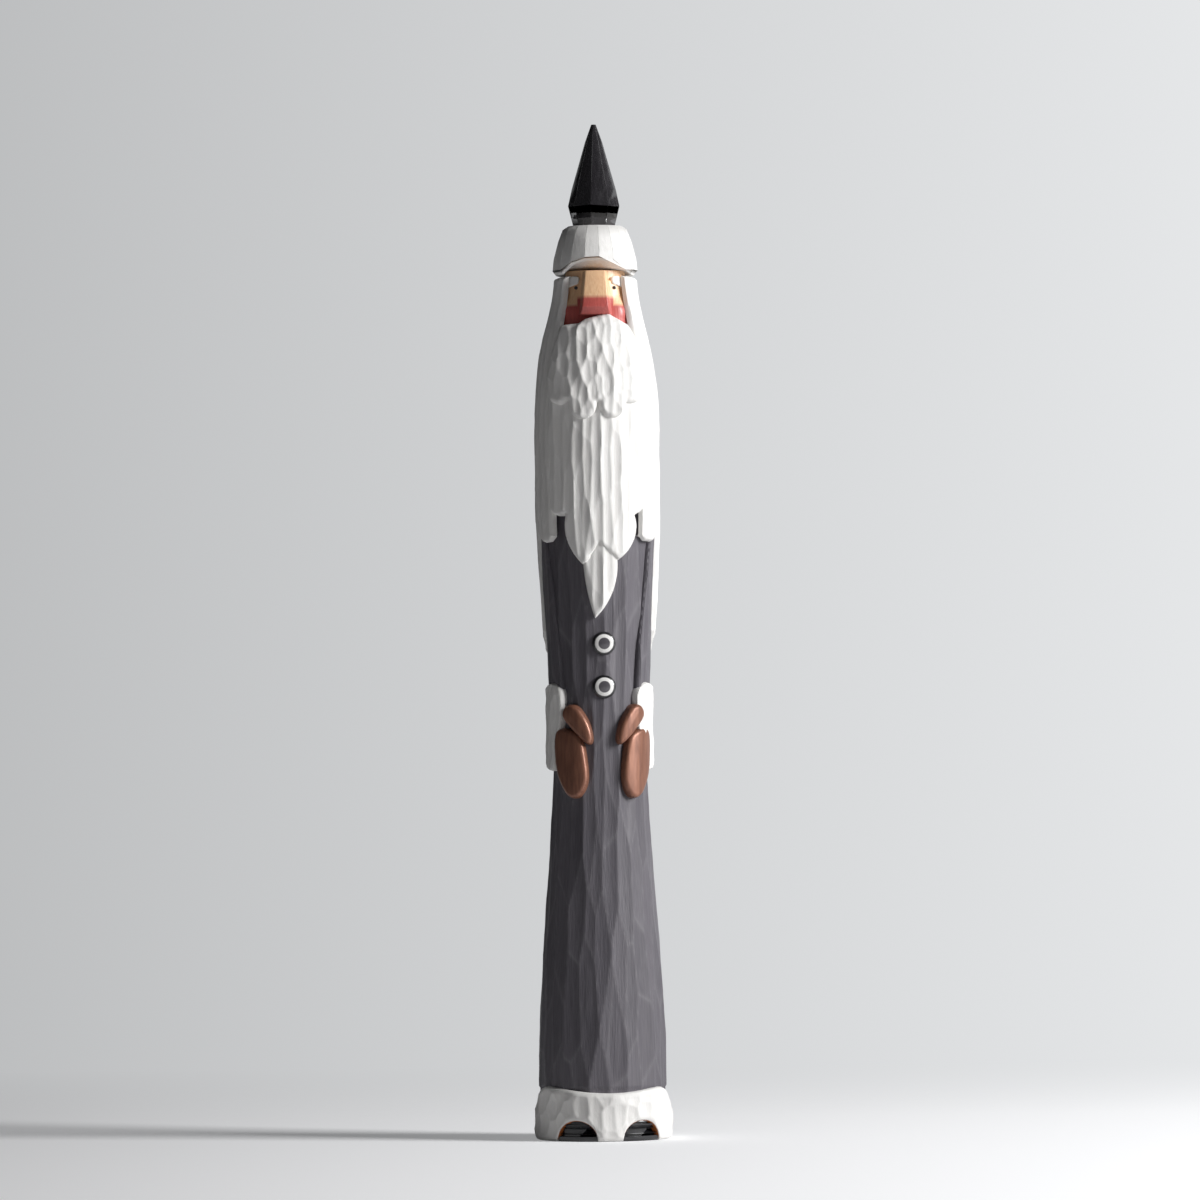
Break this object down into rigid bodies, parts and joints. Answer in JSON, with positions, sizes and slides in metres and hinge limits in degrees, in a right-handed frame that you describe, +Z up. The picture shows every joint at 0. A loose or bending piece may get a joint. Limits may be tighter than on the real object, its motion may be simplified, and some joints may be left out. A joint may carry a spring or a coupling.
{
  "type": "carved gnome figurine",
  "caption": "Tall slim carved wooden gnome with a pointed hat, long beard, mittens and a dark robe, standing on its own flat base.",
  "frame": {"origin": "middle of the flat base, on the surface it stands on", "axes": "+Z up along the figure, the face towards -Y, the figure's own left hand towards +X"},
  "size_m": [0.0338, 0.0338, 0.25],
  "materials": {
    "hat_gloss": "glossy near-black lacquer over carved wood",
    "white_paint": "matte white acrylic over carved wood",
    "face_stain": "semi-gloss peach stain, the grain showing",
    "coat_paint": "matte dark grey acrylic over carved wood",
    "mitten_bronze": "satin metallic bronze paint over carved wood",
    "black_gloss": "satin black paint over carved wood",
    "bare_wood": "bare basswood"
  },
  "bodies": {
    "root": {"coat_post": "coat_paint", "head_block": "face_stain", "neck_dowel": "bare_wood", "hat_brim": "white_paint", "hat_point": "hat_gloss", "nose": "face_stain", "eye_left": "black_gloss", "eye_right": "black_gloss", "brow_left": "white_paint", "brow_right": "white_paint", "lower_beard": "white_paint", "upper_beard": "white_paint", "hair": "white_paint", "sleeve_left": "coat_paint", "sleeve_right": "coat_paint", "cuff_left": "white_paint", "cuff_right": "white_paint", "mitten_left": "mitten_bronze", "mitten_right": "mitten_bronze", "thumb_left": "mitten_bronze", "thumb_right": "mitten_bronze", "button_upper": "black_gloss", "button_lower": "black_gloss", "hem_band": "white_paint", "boot_left": "black_gloss", "boot_right": "black_gloss"}
  },
  "joints": []
}
